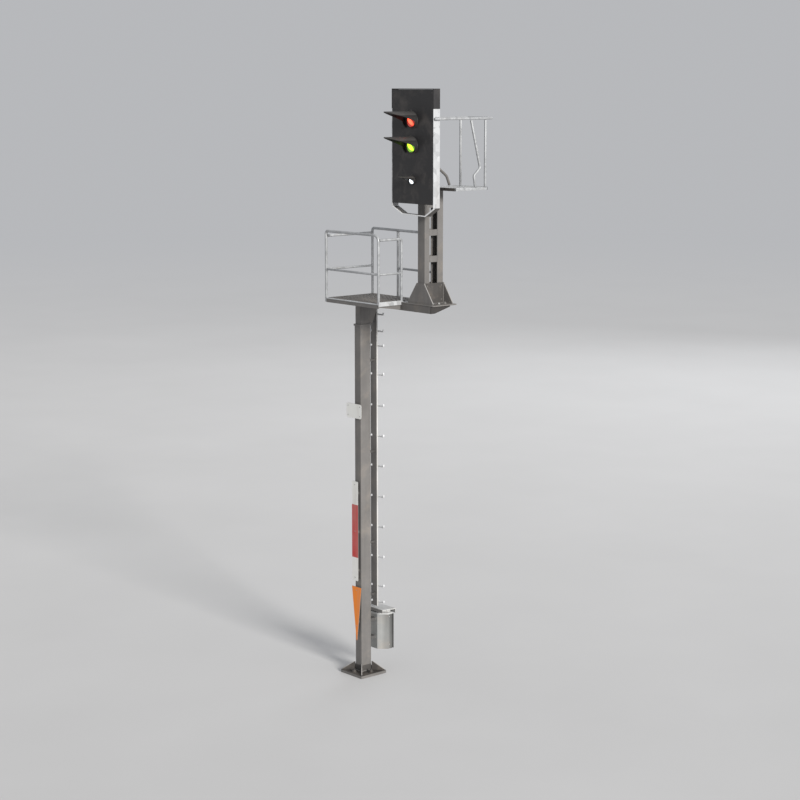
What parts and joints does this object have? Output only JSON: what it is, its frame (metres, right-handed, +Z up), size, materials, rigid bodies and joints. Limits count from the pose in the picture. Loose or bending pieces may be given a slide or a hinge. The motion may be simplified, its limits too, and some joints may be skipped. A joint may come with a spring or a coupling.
{
  "type": "model signal mast",
  "caption": "Offset railway light signal: base plate, square mast with step ladder, railed work platform, lattice upper post, hooded lamp head with rear service cage.",
  "frame": {"origin": "on the lower mast's axis at the underside of the base plate", "axes": "+Z up along the mast, -Y the way the lamps face, +X from the lower mast towards the offset upper post"},
  "size_m": [0.0907, 0.0662, 0.3609],
  "materials": {
    "mast_paint": "satin paint over galvanising, dusty",
    "galvanised": "dull galvanised",
    "black_paint": "matt black paint",
    "steel": "plain steel",
    "white_enamel": "enamel, slightly chalky",
    "banded_enamel": "white and red enamel bands",
    "yellow_enamel": "enamel, slightly chalky",
    "light_grey_paint": "satin paint",
    "circuit_board": "lacquered board",
    "terminal_plastic": "moulded",
    "red_glass": "clear tinted",
    "green_glass": "clear tinted",
    "white_glass": "clear"
  },
  "bodies": {
    "mast": {"anchor_bolt_front": "steel", "anchor_bolt_left": "steel", "anchor_bolt_rear": "steel", "anchor_bolt_right": "steel", "base_plate": "mast_paint", "cage_curved_bar": "galvanised", "cage_floor": "galvanised", "cage_kinked_bar": "galvanised", "cage_post_far": "galvanised", "cage_post_near": "galvanised", "cage_top_hoop": "galvanised", "column_batten_foot": "mast_paint", "column_batten_lower": "mast_paint", "column_batten_top": "mast_paint", "column_batten_upper": "mast_paint", "column_channel_front": "mast_paint", "column_channel_rear": "mast_paint", "column_foot": "mast_paint", "deck_frame": "mast_paint", "deck_plate": "galvanised", "deck_toe_board": "galvanised", "designation_plate": "white_enamel", "head_bracket": "mast_paint", "head_cap": "black_paint", "head_casing": "black_paint", "head_door_pin": "steel", "head_lower_hoop": "galvanised", "head_shield": "black_paint", "head_side_panel_left": "galvanised", "head_side_panel_right": "galvanised", "hood_green": "black_paint", "hood_red": "black_paint", "hood_white": "black_paint", "junction_box_body": "light_grey_paint", "junction_box_pin": "steel", "junction_box_roof": "light_grey_paint", "ladder": "galvanised", "lamp_board": "circuit_board", "lens_green": "green_glass", "lens_red": "red_glass", "lens_white": "white_glass", "lower_mast": "mast_paint", "mast_board": "banded_enamel", "mast_neck": "mast_paint", "outrigger_frame": "mast_paint", "rail_front_hoop": "galvanised", "rail_front_middle": "galvanised", "rail_left_middle": "galvanised", "rail_left_top": "galvanised", "rail_rear_middle": "galvanised", "rail_rear_post": "galvanised", "rail_rear_top": "galvanised", "rail_right_hoop": "galvanised", "rail_right_middle": "galvanised", "terminal_block": "terminal_plastic", "triangle_board": "yellow_enamel"},
    "junction_box_door": {"junction_box_door": "light_grey_paint"},
    "junction_box_latch": {"junction_box_latch": "steel"},
    "head_door": {"head_door": "black_paint"},
    "head_door_lock": {"head_door_lock": "steel"}
  },
  "joints": [
    {"name": "junction_box_door_hinge", "type": "hinge", "parent": "mast", "child": "junction_box_door", "pos_m": [-0.00918, 0.01689, 0.02573], "axis": [0, 0, 1], "range_deg": [0, 110]},
    {"name": "junction_box_latch_turn", "type": "hinge", "parent": "junction_box_door", "child": "junction_box_latch", "pos_m": [0.00622, 0.01662, 0.02711], "axis": [0, 1, 0], "range_deg": [0, 90]},
    {"name": "head_door_hinge", "type": "hinge", "parent": "mast", "child": "head_door", "pos_m": [0.07716, -0.00812, 0.32533], "axis": [0, 0, -1], "range_deg": [0, 100]},
    {"name": "head_door_lock_turn", "type": "hinge", "parent": "head_door", "child": "head_door_lock", "pos_m": [0.06058, -0.00875, 0.32533], "axis": [0, 1, 0], "range_deg": [0, 90]}
  ]
}
